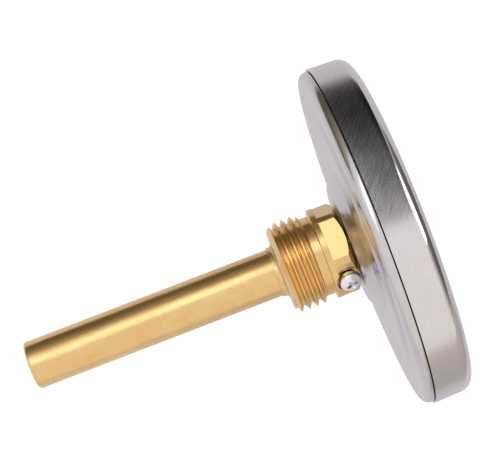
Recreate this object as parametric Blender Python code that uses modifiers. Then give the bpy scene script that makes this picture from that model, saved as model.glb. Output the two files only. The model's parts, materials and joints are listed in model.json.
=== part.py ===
"""Bimetal dial thermometer with a rear stem, in a screw-in brass pocket.

World frame, in metres: the stem's axis is Y, with the pocket's tip towards +Y and the dial facing -Y.
+Z is the dial's twelve o'clock. The origin is the centre of the pocket's shoulder, where the thread begins.
Sizes below are in millimetres. A profile is a list of (radius, position along Y) points.
"""

import math

import bmesh
import bpy

MM = 0.001
GAP = 0.3  # clearance between two pieces that touch

# Pocket, with a G1/2 thread
THREAD_CREST_R = 20.955 / 2
THREAD_PITCH = 1.814
THREAD_DEPTH = 1.162
THREAD_HALF_ANGLE = math.radians(27.5)
THREAD_END_Y = 10.0
THREAD_START_Y = 2.4
THREAD_START_R = 9.1
THREAD_LEAD = 1.1
NECK_R = 9.2
BAR_R = 10.5
COLLAR_LENGTH = 1.35
HEX_ACROSS_FLATS = 19.0
HEX_END_Y = -6.0
HEX_CHAMFER_R = 9.2
TUBE_R = 5.5
TUBE_BORE_R = 4.5
TUBE_TIP_Y = 70.0
TUBE_TIP_ROUND = 0.9
TUBE_FLOOR = 1.5
SOCKET_FLOOR_Y = 1.0

# Clamp screw, M2.5 with a pan head, on one of the hexagon's flats
SCREW_ANGLE = math.radians(44.6)  # from +Z towards -X
SCREW_Y = -3.4
SCREW_HEAD_R = 2.5
SCREW_HEAD_HEIGHT = 2.1
SCREW_SHANK_R = 1.25
SCREW_SEAT_R = 8.6  # distance of the recess's floor from the stem's axis
SCREW_STAND_OFF = 1.4  # the tip meets the stem before the head meets its seat
SCREW_RECESS_R = 2.75

# Stem
STEM_R = 4.0
STEM_WALL = 0.4
STEM_TIP_Y = 66.5
STEM_FLARE_R = 5.6
STEM_FLARE_Y = -9.4
FERRULE_FLANGE_R = 8.5
CASE_HOLE_R = 5.3

# Case
CASE_SHEET = 0.6
CASE_R = 39.6
CASE_BACK_Y = -6.3
BOSS_R = 13.4
BOSS_FOOT = (17.6, -8.4)
RING_STEP_R = 29.2
OUTER_BACK_Y = -8.95
CASE_CORNER = 2.3
CASE_SKIRT_R = 38.9
CASE_RIM_Y = -16.65
CASE_RIM_R = 36.6

# Bezel and window
BEZEL_SHEET = 0.5
BEZEL_R = 40.0
BEZEL_BACK_Y = -11.4
BEZEL_FRONT_Y = -20.7
BEZEL_CORNER = 2.9
BEZEL_TAPER = math.radians(2.4)
BEZEL_LIP_R = 35.3
WINDOW_R = 37.4
WINDOW_THICKNESS = 2.0

# Dial, pointer and movement
DIAL_R = 36.6
DIAL_THICKNESS = 0.6
DIAL_FRONT_Y = -13.2
DIAL_HOLE_R = 3.0
POST_DISTANCE = 22.0
POST_TILT = math.radians(22.5)  # above the level on the left and below it on the right, clear of the numerals
POST_R = 2.2
DIAL_SCREW_R = 0.95
STOP_PIN_DISTANCE = 22.0
POINTER_LENGTH = 29.0
POINTER_TAIL = 9.0
POINTER_THICKNESS = 0.4
POINTER_BACK_Y = -15.0
SPINDLE_R = 0.5
COIL_R = 2.5
COIL_STRIP = (0.5, 2.0)  # thickness and width
COIL_PITCH = 3.0
COIL_TURNS = 9
COIL_START_Y = 31.0

LARGE_STEPS = 56
SMALL_STEPS = 32
TINY_STEPS = 16

BRASS = ((0.80, 0.58, 0.27), 0.25, 1.0)
BRAZE = ((0.78, 0.66, 0.42), 0.35, 1.0)
ZINC = ((0.62, 0.61, 0.63), 0.32, 1.0)
STAINLESS = ((0.60, 0.59, 0.60), 0.28, 1.0)
ALUMINIUM = ((0.75, 0.75, 0.76), 0.35, 1.0)
BIMETAL = ((0.50, 0.44, 0.36), 0.40, 1.0)
WHITE_PAINT = ((0.86, 0.86, 0.84), 0.45, 0.0)
BLACK_PAINT = ((0.02, 0.02, 0.02), 0.40, 0.0)
RUBBER = ((0.03, 0.03, 0.03), 0.80, 0.0)
FIBRE = ((0.45, 0.12, 0.08), 0.85, 0.0)
GLASS = ((0.90, 0.95, 0.95), 0.03, 0.0)


def clear_scene():
    for obj in list(bpy.data.objects):
        bpy.data.objects.remove(obj, do_unlink=True)


def new_collection(name):
    collection = bpy.data.collections.new(name)
    bpy.context.scene.collection.children.link(collection)
    return collection


clear_scene()
PARTS = new_collection("dial_thermometer")
CUTTERS = new_collection("cutters")


def joint_empty(name, parent=None, location=(0.0, 0.0, 0.0), rotation=(0.0, 0.0, 0.0)):
    empty = bpy.data.objects.new(name, None)
    empty.empty_display_size = 10 * MM
    empty.location = location
    empty.rotation_euler = rotation
    empty.parent = parent
    PARTS.objects.link(empty)
    return empty


def finish_material(obj, finish):
    color, roughness, metallic = finish
    material = bpy.data.materials.new(obj.name)
    material.use_nodes = True
    shader = material.node_tree.nodes["Principled BSDF"]
    shader.inputs["Base Color"].default_value = (*color, 1.0)
    shader.inputs["Roughness"].default_value = roughness
    shader.inputs["Metallic"].default_value = metallic
    if finish is GLASS:
        shader.inputs["Transmission Weight"].default_value = 1.0
    obj.data.materials.append(material)


def place(obj, parent, finish):
    """Puts a piece in the parts' collection, under the empty of its joint."""
    obj.parent = parent
    PARTS.objects.link(obj)
    finish_material(obj, finish)
    return obj


def as_cutter(obj):
    CUTTERS.objects.link(obj)
    obj.hide_render = True
    obj.display_type = "WIRE"
    return obj


def along_stem(obj):
    """Turns a shape modelled about Z so that its Z lies on the stem's axis, world +Y."""
    obj.rotation_euler = (-math.pi / 2, 0.0, 0.0)
    return obj


def arc(centre, radius, start, end, steps):
    """Points on an arc. Angles in degrees, from straight outwards (0) towards +Y (90)."""
    points = []
    for step in range(steps + 1):
        angle = math.radians(start + (end - start) * step / steps)
        points.append((centre[0] + radius * math.cos(angle), centre[1] + radius * math.sin(angle)))
    return points


def turned(name, profile, steps, closed=True):
    """A profile turned about local Z. It runs down the outer side first, so that faces point outwards."""
    mesh = bpy.data.meshes.new(name)
    points = [(r * MM, 0.0, y * MM) for r, y in profile]
    edges = [(i, i + 1) for i in range(len(points) - 1)]
    if closed:
        edges.append((len(points) - 1, 0))
    mesh.from_pydata(points, edges, [])
    obj = bpy.data.objects.new(name, mesh)
    screw = obj.modifiers.new("Turn", "SCREW")
    screw.axis = "Z"
    screw.steps = steps
    screw.render_steps = steps
    screw.use_merge_vertices = True
    screw.merge_threshold = 0.00001
    return obj


def turned_on_stem(name, profile, steps, closed=True):
    return along_stem(turned(name, profile, steps, closed))


def ring(r_in, r_out, y_high, y_low):
    return [(r_in, y_high), (r_out, y_high), (r_out, y_low), (r_in, y_low)]


def rod(radius, y_high, y_low):
    return [(0.0, y_high), (radius, y_high), (radius, y_low), (0.0, y_low)]


def sheet_metal(obj, thickness):
    """Gives an open turned surface its wall, on the inner side."""
    solidify = obj.modifiers.new("Sheet", "SOLIDIFY")
    solidify.thickness = thickness * MM
    solidify.offset = -1.0
    solidify.use_even_offset = True
    return obj


def cut(obj, cutter):
    boolean = obj.modifiers.new("Cut " + cutter.name, "BOOLEAN")
    boolean.operation = "DIFFERENCE"
    boolean.solver = "EXACT"
    boolean.object = cutter
    return obj


def box_cutter(name, size, centre, rotation=(0.0, 0.0, 0.0)):
    mesh = bpy.data.meshes.new(name)
    shape = bmesh.new()
    bmesh.ops.create_cube(shape, size=1.0)
    bmesh.ops.scale(shape, vec=[side * MM for side in size], verts=shape.verts)
    bmesh.ops.translate(shape, vec=[value * MM for value in centre], verts=shape.verts)
    shape.to_mesh(mesh)
    shape.free()
    obj = bpy.data.objects.new(name, mesh)
    obj.rotation_euler = rotation
    return as_cutter(obj)


def prism_cutter(name, sides, radius, z_low, z_high):
    """A straight prism about local Z, with its first corner towards +Y."""
    mesh = bpy.data.meshes.new(name)
    shape = bmesh.new()
    bmesh.ops.create_cone(
        shape, cap_ends=True, segments=sides, radius1=radius * MM, radius2=radius * MM, depth=(z_high - z_low) * MM
    )
    bmesh.ops.translate(shape, vec=(0.0, 0.0, (z_high + z_low) / 2 * MM), verts=shape.verts)
    shape.to_mesh(mesh)
    shape.free()
    return as_cutter(bpy.data.objects.new(name, mesh))


# Pocket


def thread_groove():
    """The V groove that cuts the pocket's thread, a right-hand helix about local Z."""
    overshoot = 0.06
    outer_r = THREAD_CREST_R + overshoot
    root_r = THREAD_CREST_R - THREAD_DEPTH
    flank = math.tan(THREAD_HALF_ANGLE)
    flat = (THREAD_PITCH - 2 * THREAD_DEPTH * flank) / 2
    half_root = flat / 2
    half_mouth = half_root + (THREAD_DEPTH + overshoot) * flank
    start_y = THREAD_START_Y - THREAD_PITCH * 0.6
    turns = 5
    mesh = bpy.data.meshes.new("thread_groove")
    shape = bmesh.new()
    corners = [
        (outer_r, start_y - half_mouth),
        (outer_r, start_y + half_mouth),
        (root_r, start_y + half_root),
        (root_r, start_y - half_root),
    ]
    section = shape.faces.new([shape.verts.new((r * MM, 0.0, y * MM)) for r, y in corners])
    bmesh.ops.spin(
        shape,
        geom=[section, *section.edges, *section.verts],
        cent=(0.0, 0.0, 0.0),
        axis=(0.0, 0.0, 1.0),
        dvec=(0.0, 0.0, THREAD_PITCH * MM / SMALL_STEPS),
        angle=2 * math.pi * turns,
        steps=SMALL_STEPS * turns,
    )
    bmesh.ops.recalc_face_normals(shape, faces=shape.faces)
    shape.to_mesh(mesh)
    shape.free()
    groove = as_cutter(bpy.data.objects.new("thread_groove", mesh))
    # Half a step round, so that the groove's corners don't meet the bar's.
    groove.rotation_euler = (-math.pi / 2, math.pi / SMALL_STEPS, 0.0)
    return groove


def hexagon_waste():
    """What the milling of the hexagon takes off the round bar."""
    waste = prism_cutter("hexagon_waste", LARGE_STEPS, BAR_R + 3, HEX_END_Y - 2, -COLLAR_LENGTH)
    corner_r = HEX_ACROSS_FLATS / 2 / math.cos(math.pi / 6)
    kept = prism_cutter("hexagon_kept", 6, corner_r, HEX_END_Y - 4, 1.0)
    # One flat faces +X before the turn, which brings the opposite one to the clamp screw.
    for obj in (waste, kept):
        obj.rotation_euler = (-math.pi / 2, math.pi / 2 - SCREW_ANGLE, 0.0)
    return cut(waste, kept)


def screw_rotation():
    """Turns local Z to point out of the hexagon's flat that holds the clamp screw."""
    return (0.0, -SCREW_ANGLE, 0.0)


def make_pocket(parent):
    socket_r = TUBE_R + GAP
    profile = [
        (socket_r, THREAD_END_Y),
        (THREAD_START_R, THREAD_END_Y),
        (THREAD_CREST_R, THREAD_END_Y - THREAD_LEAD),
        (THREAD_CREST_R, THREAD_START_Y),
        (NECK_R, THREAD_START_Y),
        (NECK_R, 0.0),
        (BAR_R, 0.0),
        (BAR_R, HEX_END_Y + 1.0),
        (HEX_CHAMFER_R, HEX_END_Y),
        (TUBE_BORE_R + 0.5, HEX_END_Y),
        (TUBE_BORE_R, HEX_END_Y + 0.5),
        (TUBE_BORE_R, SOCKET_FLOOR_Y),
        (socket_r, SOCKET_FLOOR_Y),
    ]
    body = turned_on_stem("pocket_body", profile, SMALL_STEPS)
    cut(body, thread_groove())
    cut(body, hexagon_waste())
    for name, radius, low, high in (
        ("screw_recess", SCREW_RECESS_R, SCREW_SEAT_R, SCREW_SEAT_R + 4),
        ("screw_hole", SCREW_SHANK_R + GAP, TUBE_BORE_R - 1, SCREW_SEAT_R + 1),
    ):
        cutter = prism_cutter(name, TINY_STEPS, radius, low, high)
        cutter.rotation_euler = screw_rotation()
        cutter.location = (0.0, SCREW_Y * MM, 0.0)
        cut(body, cutter)
    place(body, parent, BRASS)

    tip = arc((TUBE_R - TUBE_TIP_ROUND, TUBE_TIP_Y - TUBE_TIP_ROUND), TUBE_TIP_ROUND, 90, 0, 4)
    tube = [
        (0.0, TUBE_TIP_Y),
        *tip,
        (TUBE_R, SOCKET_FLOOR_Y + GAP),
        (TUBE_BORE_R, SOCKET_FLOOR_Y + GAP),
        (TUBE_BORE_R, TUBE_TIP_Y - TUBE_FLOOR),
        (0.0, TUBE_TIP_Y - TUBE_FLOOR),
    ]
    place(turned_on_stem("pocket_tube", tube, SMALL_STEPS, closed=False), parent, BRASS)

    bead_r = TUBE_R + GAP / 2
    bead_y = THREAD_END_Y + GAP
    bead = [(bead_r, bead_y + 1.1), (bead_r + 0.35, bead_y + 0.55), (bead_r + 1.1, bead_y), (bead_r, bead_y)]
    place(turned_on_stem("braze_ring", bead, SMALL_STEPS), parent, BRAZE)


def make_clamp_screw(parent):
    """Modelled about local Z, which the parent empty points out of the flat. Z is measured from the stem's axis."""
    under_head = SCREW_SEAT_R + SCREW_STAND_OFF
    top = under_head + SCREW_HEAD_HEIGHT
    profile = [
        (0.0, top),
        (SCREW_HEAD_R * 0.45, top - 0.08),
        (SCREW_HEAD_R * 0.78, top - 0.45),
        (SCREW_HEAD_R, top - 1.15),
        (SCREW_HEAD_R, under_head),
        (SCREW_SHANK_R, under_head),
        (SCREW_SHANK_R, STEM_R + GAP + 0.3),
        (SCREW_SHANK_R - 0.3, STEM_R + GAP),
        (0.0, STEM_R + GAP),
    ]
    screw = turned("clamp_screw", profile, SMALL_STEPS, closed=False)
    depth = 1.3
    for index, size in enumerate(((2.9, 0.7, 2 * depth), (0.7, 2.9, 2 * depth))):
        slot = box_cutter(f"cross_recess_{index + 1}", size, (0.0, 0.0, top))
        slot.parent = parent
        cut(screw, slot)
    place(screw, parent, ZINC)


# Stem


def make_stem(parent):
    bore_r = STEM_R - STEM_WALL
    sheath = [
        (0.0, STEM_TIP_Y),
        (STEM_R - 0.6, STEM_TIP_Y),
        (STEM_R, STEM_TIP_Y - 0.6),
        (STEM_R, STEM_FLARE_Y),
        (STEM_FLARE_R, STEM_FLARE_Y),
        (STEM_FLARE_R, STEM_FLARE_Y - 0.5),
        (bore_r, STEM_FLARE_Y - 0.5),
        (bore_r, STEM_TIP_Y - 0.6),
        (0.0, STEM_TIP_Y - 0.6),
    ]
    place(turned_on_stem("stem_tube", sheath, SMALL_STEPS, closed=False), parent, ALUMINIUM)

    fit_r = bore_r - GAP
    boss_r = COIL_R - COIL_STRIP[0] / 2 - GAP
    coil_end = COIL_START_Y + COIL_PITCH * COIL_TURNS
    anchor = [
        (0.0, STEM_TIP_Y - 0.9),
        (fit_r, STEM_TIP_Y - 0.9),
        (fit_r, coil_end + COIL_STRIP[1]),
        (boss_r, coil_end + COIL_STRIP[1]),
        (boss_r, coil_end - COIL_STRIP[1]),
        (0.0, coil_end - COIL_STRIP[1]),
    ]
    place(turned_on_stem("coil_anchor", anchor, TINY_STEPS, closed=False), parent, BRASS)

    hole_r = SPINDLE_R + GAP
    for name, high in (("lower_guide", 27.0), ("upper_guide", -6.5)):
        guide = ring(hole_r, fit_r, high, high - 2.5)
        place(turned_on_stem(name, guide, TINY_STEPS), parent, BRASS)


# Head


def make_case(parent):
    corner = arc((CASE_R - CASE_CORNER, OUTER_BACK_Y - CASE_CORNER), CASE_CORNER, 90, 8, 5)
    rim_round = 0.6
    rim = arc((CASE_SKIRT_R - rim_round, CASE_RIM_Y + rim_round), rim_round, 0, -90, 2)
    outline = [
        (CASE_HOLE_R, CASE_BACK_Y),
        (BOSS_R - 0.8, CASE_BACK_Y),
        (BOSS_R, CASE_BACK_Y - 0.25),
        BOSS_FOOT,
        (RING_STEP_R, BOSS_FOOT[1] - 0.1),
        (RING_STEP_R + 0.7, OUTER_BACK_Y),
        *corner,
        (CASE_R - 0.15, BEZEL_BACK_Y + GAP),
        (CASE_SKIRT_R, BEZEL_BACK_Y - 0.05),
        *rim,
        (CASE_RIM_R, CASE_RIM_Y),
    ]
    case = turned_on_stem("case_back", outline, LARGE_STEPS, closed=False)
    place(sheet_metal(case, CASE_SHEET), parent, ZINC)

    washer_y = CASE_BACK_Y - CASE_SHEET - GAP
    washer = ring(CASE_HOLE_R, FERRULE_FLANGE_R, washer_y, washer_y - 0.5)
    place(turned_on_stem("case_washer", washer, SMALL_STEPS), parent, FIBRE)

    bore_r = STEM_R + GAP
    neck_r = CASE_HOLE_R - GAP
    flange_y = washer_y - 0.5 - GAP
    ferrule = [
        (bore_r, CASE_BACK_Y - 0.15),
        (neck_r, CASE_BACK_Y - 0.15),
        (neck_r, flange_y),
        (FERRULE_FLANGE_R, flange_y),
        (FERRULE_FLANGE_R, STEM_FLARE_Y + GAP),
        (bore_r, STEM_FLARE_Y + GAP),
    ]
    place(turned_on_stem("stem_ferrule", ferrule, SMALL_STEPS), parent, BRASS)


def make_bezel(parent):
    corner_y = BEZEL_FRONT_Y + BEZEL_CORNER
    front_r = BEZEL_R - (BEZEL_BACK_Y - corner_y) * math.tan(BEZEL_TAPER)
    corner = arc((front_r - BEZEL_CORNER, corner_y), BEZEL_CORNER, 0, -90, 6)
    lip = arc((BEZEL_LIP_R + 0.5, BEZEL_FRONT_Y + 0.5), 0.5, -90, -150, 2)
    outline = [(BEZEL_R, BEZEL_BACK_Y), *corner, *lip]
    bezel = turned_on_stem("bezel_ring", outline, LARGE_STEPS, closed=False)
    place(sheet_metal(bezel, BEZEL_SHEET), parent, STAINLESS)

    glass_y = BEZEL_FRONT_Y + BEZEL_SHEET + GAP
    pane = rod(WINDOW_R, glass_y + WINDOW_THICKNESS, glass_y)
    place(turned_on_stem("window", pane, LARGE_STEPS, closed=False), parent, GLASS)
    seal_y = CASE_RIM_Y - GAP
    seal = ring(CASE_RIM_R, CASE_SKIRT_R - 0.7, seal_y, glass_y + WINDOW_THICKNESS + GAP)
    place(turned_on_stem("window_gasket", seal, LARGE_STEPS), parent, RUBBER)


def make_dial(parent):
    back_y = DIAL_FRONT_Y + DIAL_THICKNESS
    dial = turned_on_stem("dial_plate", ring(DIAL_HOLE_R, DIAL_R, back_y, DIAL_FRONT_Y), LARGE_STEPS)
    place(dial, parent, WHITE_PAINT)

    case_inside_y = BOSS_FOOT[1] - 0.1 - CASE_SHEET
    head_y = DIAL_FRONT_Y - GAP
    for side, name in ((-1, "left"), (1, "right")):
        hole = along_stem(prism_cutter(f"dial_hole_{name}", TINY_STEPS, DIAL_SCREW_R + GAP, -15.0, -10.0))
        across = side * POST_DISTANCE * math.cos(POST_TILT)
        hole.location = (across * MM, 0.0, -across * math.tan(POST_TILT) * MM)
        cut(dial, hole)
        pillar = ring(DIAL_SCREW_R + GAP, POST_R, case_inside_y - GAP, back_y + GAP)
        post = turned_on_stem(f"dial_post_{name}", pillar, TINY_STEPS)
        post.location = hole.location
        place(post, parent, BRASS)
        profile = [
            (0.0, case_inside_y - 1.0),
            (DIAL_SCREW_R, case_inside_y - 1.0),
            (DIAL_SCREW_R, head_y),
            (2 * DIAL_SCREW_R, head_y),
            (2 * DIAL_SCREW_R, head_y - 0.5),
            (1.6 * DIAL_SCREW_R, head_y - 0.8),
            (0.0, head_y - 0.8),
        ]
        screw = turned_on_stem(f"dial_screw_{name}", profile, TINY_STEPS, closed=False)
        screw.location = hole.location
        slot = box_cutter(f"dial_slot_{name}", (5.0, 0.5, 0.7), (0.0, 0.0, head_y - 0.8))
        slot.rotation_euler = (-math.pi / 2, 0.0, 0.0)
        slot.location = hole.location
        cut(screw, slot)
        place(screw, parent, ZINC)

    pin = turned_on_stem("stop_pin", rod(0.5, head_y, head_y - 2.4), TINY_STEPS, closed=False)
    pin.location = (0.0, 0.0, -STOP_PIN_DISTANCE * MM)
    place(pin, parent, BRASS)

    glass_back_y = BEZEL_FRONT_Y + BEZEL_SHEET + GAP + WINDOW_THICKNESS
    spacer = ring(BEZEL_LIP_R, CASE_RIM_R - 0.5, head_y, glass_back_y + GAP)
    place(turned_on_stem("dial_ring", spacer, LARGE_STEPS), parent, WHITE_PAINT)


# Movement


def make_pointer(parent):
    """A flat blade along -X with a round eye and a short tail. It reads twenty degrees, at nine o'clock."""
    curve = bpy.data.curves.new("pointer", "CURVE")
    curve.dimensions = "2D"
    curve.fill_mode = "BOTH"
    curve.extrude = POINTER_THICKNESS / 2 * MM
    eye_r = 3.4
    blade_half = 1.1
    tail_half = 1.5
    join = math.degrees(math.asin(blade_half / eye_r))
    tail_join = math.degrees(math.asin(tail_half / eye_r))
    outline = [
        (-POINTER_LENGTH, 0.15),
        *arc((0.0, 0.0), eye_r, 180 - join, tail_join, 6),
        (POINTER_TAIL, tail_half),
        (POINTER_TAIL, -tail_half),
        *arc((0.0, 0.0), eye_r, -tail_join, -180 + join, 6),
        (-POINTER_LENGTH, -0.15),
    ]
    eye = arc((0.0, 0.0), 1.6 + GAP, 0, 360 - 360 / TINY_STEPS, TINY_STEPS - 1)
    for loop in (outline, eye):
        spline = curve.splines.new("POLY")
        spline.points.add(len(loop) - 1)
        for point, (x, y) in zip(spline.points, loop):
            point.co = (x * MM, y * MM, 0.0, 1.0)
        spline.use_cyclic_u = True
    pointer = along_stem(bpy.data.objects.new("pointer", curve))
    pointer.location = (0.0, (POINTER_BACK_Y - POINTER_THICKNESS / 2) * MM, 0.0)
    place(pointer, parent, BLACK_PAINT)


def make_coil(parent):
    """The bimetal strip, wound on a right-hand helix about the stem's axis."""
    thickness, width = COIL_STRIP
    low = COIL_START_Y - width / 2
    corners = ring(COIL_R - thickness / 2, COIL_R + thickness / 2, low + width, low)
    mesh = bpy.data.meshes.new("bimetal_coil")
    shape = bmesh.new()
    section = shape.faces.new([shape.verts.new((r * MM, 0.0, y * MM)) for r, y in corners])
    bmesh.ops.spin(
        shape,
        geom=[section, *section.edges, *section.verts],
        cent=(0.0, 0.0, 0.0),
        axis=(0.0, 0.0, 1.0),
        dvec=(0.0, 0.0, COIL_PITCH * MM / TINY_STEPS),
        angle=2 * math.pi * COIL_TURNS,
        steps=TINY_STEPS * COIL_TURNS,
    )
    bmesh.ops.recalc_face_normals(shape, faces=shape.faces)
    shape.to_mesh(mesh)
    shape.free()
    place(along_stem(bpy.data.objects.new("bimetal_coil", mesh)), parent, BIMETAL)


def make_movement(parent):
    make_coil(parent)
    hole_r = SPINDLE_R + GAP
    boss_r = COIL_R - COIL_STRIP[0] / 2 - GAP
    hub = ring(hole_r, boss_r, COIL_START_Y + 2.0, COIL_START_Y - 1.5)
    place(turned_on_stem("coil_hub", hub, TINY_STEPS), parent, BRASS)
    spindle = rod(SPINDLE_R, COIL_START_Y + 3.0, -16.7)
    place(turned_on_stem("spindle", spindle, TINY_STEPS, closed=False), parent, STAINLESS)
    front_y = POINTER_BACK_Y - POINTER_THICKNESS - GAP
    hub = [
        (hole_r, POINTER_BACK_Y + 0.7),
        (1.6, POINTER_BACK_Y + 0.7),
        (1.6, front_y),
        (2.8, front_y),
        (2.8, front_y - 0.7),
        (hole_r, front_y - 0.7),
    ]
    place(turned_on_stem("pointer_hub", hub, TINY_STEPS), parent, BRASS)
    make_pointer(parent)


def main():
    pocket = joint_empty("pocket")
    screw = joint_empty("clamp_screw_axis", pocket, (0.0, SCREW_Y * MM, 0.0), screw_rotation())
    stem = joint_empty("stem_slide_axis", pocket)
    head = joint_empty("head_turn_axis", stem)
    movement = joint_empty("pointer_turn_axis", head)
    make_pocket(pocket)
    make_clamp_screw(screw)
    make_stem(stem)
    make_case(head)
    make_bezel(head)
    make_dial(head)
    make_movement(movement)
    for obj in PARTS.objects:
        if obj.type == "MESH":
            obj.data.shade_smooth()
            obj.data.set_sharp_from_angle(angle=math.radians(35))


main()
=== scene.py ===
"""Finished look of the dial thermometer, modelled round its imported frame.

The stem's axis is Y: the pocket's tip points to +Y, the dial faces -Y and its twelve o'clock is +Z.
Sizes are in millimetres. An outline is a list of (radius, y) corners of a turned piece, and a corner
with a third number is rounded to that radius.
"""

import json
import math

import bmesh
import bpy
from mathutils import Matrix, Vector

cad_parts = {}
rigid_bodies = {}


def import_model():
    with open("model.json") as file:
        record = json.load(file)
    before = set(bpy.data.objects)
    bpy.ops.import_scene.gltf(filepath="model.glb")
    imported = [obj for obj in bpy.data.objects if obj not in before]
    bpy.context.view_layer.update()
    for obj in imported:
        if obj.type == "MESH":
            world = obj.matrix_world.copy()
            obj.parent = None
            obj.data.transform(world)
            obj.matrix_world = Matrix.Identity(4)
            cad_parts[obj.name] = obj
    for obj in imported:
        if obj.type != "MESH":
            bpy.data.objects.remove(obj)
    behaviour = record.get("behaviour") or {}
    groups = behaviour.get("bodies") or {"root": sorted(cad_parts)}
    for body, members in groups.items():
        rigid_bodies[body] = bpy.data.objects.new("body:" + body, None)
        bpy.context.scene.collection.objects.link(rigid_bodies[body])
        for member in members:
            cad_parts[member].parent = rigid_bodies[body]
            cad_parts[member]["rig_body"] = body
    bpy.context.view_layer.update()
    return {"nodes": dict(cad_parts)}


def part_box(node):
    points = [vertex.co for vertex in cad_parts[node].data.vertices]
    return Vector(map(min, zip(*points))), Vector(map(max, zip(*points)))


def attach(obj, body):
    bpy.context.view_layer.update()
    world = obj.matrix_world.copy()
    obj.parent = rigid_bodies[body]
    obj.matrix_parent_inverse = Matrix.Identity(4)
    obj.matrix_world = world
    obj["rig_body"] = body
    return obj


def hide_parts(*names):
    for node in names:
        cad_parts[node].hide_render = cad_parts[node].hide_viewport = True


MM = 0.001
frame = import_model()

NEAR = 0.001  # points closer than this are taken as one
FLAT_ANGLE = 30  # degrees between two faces, above which their edge stays sharp

# Steps round a turned piece
FINE_STEPS = 192
STEPS = 128
STEM_STEPS = 96
BUSH_STEPS = 64
SMALL_STEPS = 48

# Pocket
THREAD_PITCH = 1.814
THREAD_HALF_ANGLE = math.radians(27.5)
ROOT_ROUND = 0.137  # radius of the thread's root, in pitches
THREAD_START_Y = 2.4
THREAD_LEAD = 1.1  # length of the lead-in chamfer
THREAD_LEAD_R = 9.1
CREST_INSET = 0.0225  # from the bar's radius to the thread's crest
NECK_R = 9.2
COLLAR_LENGTH = 1.35
ACROSS_FLATS = 19.0
HEX_CHAMFER_R = 9.2
BORE_R = 4.5
SOCKET_R = 5.8
SOCKET_FLOOR_Y = 1.0
TUBE_FLOOR = 1.5  # thickness of the tube's closed end

# Clamp screw, in its own frame: its axis is local Y, measured from the stem's axis
SCREW_ANGLE = math.radians(44.6)  # from +Z towards -X
SCREW_Y = -3.4
SCREW_HEAD_R = 2.5
SCREW_TOP = 12.1
SCREW_UNDER_HEAD = 10.0
RECESS_R = 2.75
RECESS_FLOOR = 8.6
RECESS_REACH = 14.0
SCREW_SHANK_R = 1.25
SCREW_TIP = 4.3
SCREW_HOLE_R = 1.55
CROSS_TURN = 0.35  # radians from the stem's axis to the cross recess

# Case, bezel and dial
CASE_SHEET = 0.6
CASE_HOLE_R = 5.3
BOSS_R = 13.4
BOSS_FOOT_R = 17.6
BOSS_HEIGHT = 2.1
RING_R = (29.2, 29.9)  # inner and outer radius of the pressed ring's slope
CASE_SKIRT_R = 38.9
CASE_RIM_R = 36.6
BEZEL_SHEET = 0.5
BEZEL_TAPER = math.radians(2.4)
BEZEL_CORNER = 2.9
BEZEL_LIP_R = 35.3
BRUSHED_FROM_Y = -18.2
BRUSH_LEAN = math.radians(36)  # between the brushed streaks and the way round the bezel
GASKET_INNER_R = 36.6
DIAL_HOLE_R = 3.0
DIAL_SCREW_HOLE_R = 1.25
DIAL_SCREW_SHANK_R = 0.95
SCALE_START = math.radians(-135)  # from twelve o'clock, clockwise
SCALE_SWEEP = math.radians(270)
SCALE_TOP = 120
SCALE_R = 31.5
MAJOR_EVERY = 10
MINOR_EVERY = 2
NUMERAL_EVERY = 20
NUMERAL_R = 22.3
NUMERAL_HEIGHT = 5.6
UNIT_HEIGHT = 5.0
UNIT_UP = -12.5
INK = 0.04  # thickness of the printed marks
LETTER_OFFSET = 0.06  # what the numerals' strokes grow by on each side

# Movement and stem
SPINDLE_HOLE_R = 0.56
POINTER_EYE_R = 1.95
HUB_R = 1.6
STEM_R = 4.0
STEM_WALL = 0.4

# Studio
CAMERA_EYE = (11.96, 20.56, 400.0)
CAMERA_TARGET = (11.96, 12.7, 0.0)
CAMERA_LENS = 128.2
CAMERA_ROLL = 21.0  # degrees
FLOOR_Z = -160.0
# Painted shadow on the floor, seen only in the metal's reflections: its glowing shade by the head and by
# the stem
FLOOR_PAINTED_SHADE_BY_HEAD = (0.68, 0.655, 0.675)
FLOOR_PAINTED_SHADE_BY_STEM = (0.82, 0.785, 0.80)
WARM_SIDE = (1.00, 0.93, 0.88)
COOL_SIDE = (0.96, 0.95, 0.96)
DARK_FRONT = (0.16, 0.14, 0.13)
AMBIENT = 1.05  # the world's brightness to all but gloss
STEM_CARD_STOPS = (
    (0.0, (0.10, 0.083, 0.062)),
    (0.2, (0.13, 0.107, 0.075)),
    (0.45, (0.145, 0.12, 0.085)),
    (0.75, (0.32, 0.28, 0.21)),
    (1.0, (0.58, 0.53, 0.46)),
)
SIDE_CARD_STOPS = (
    (0.0, (0.48, 0.42, 0.38)),
    (1.0, (0.62, 0.55, 0.50)),
)
BEZEL_CARD_STOPS = (
    (0.0, (0.62, 0.57, 0.57)),
    (0.12, (0.085, 0.078, 0.078)),
    (0.25, (0.012, 0.012, 0.014)),
    (0.38, (0.012, 0.012, 0.014)),
    (0.50, (0.035, 0.035, 0.04)),
    (0.65, (0.08, 0.08, 0.09)),
    (0.74, (0.12, 0.12, 0.125)),
    (0.86, (0.27, 0.255, 0.255)),
    (1.0, (0.38, 0.36, 0.35)),
)


def extent(node):
    """Outer radius, lowest y and highest y of a round CAD piece on the stem's axis."""
    low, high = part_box(node)
    return high.x / MM, low.y / MM, high.y / MM


# Making pieces


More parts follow.
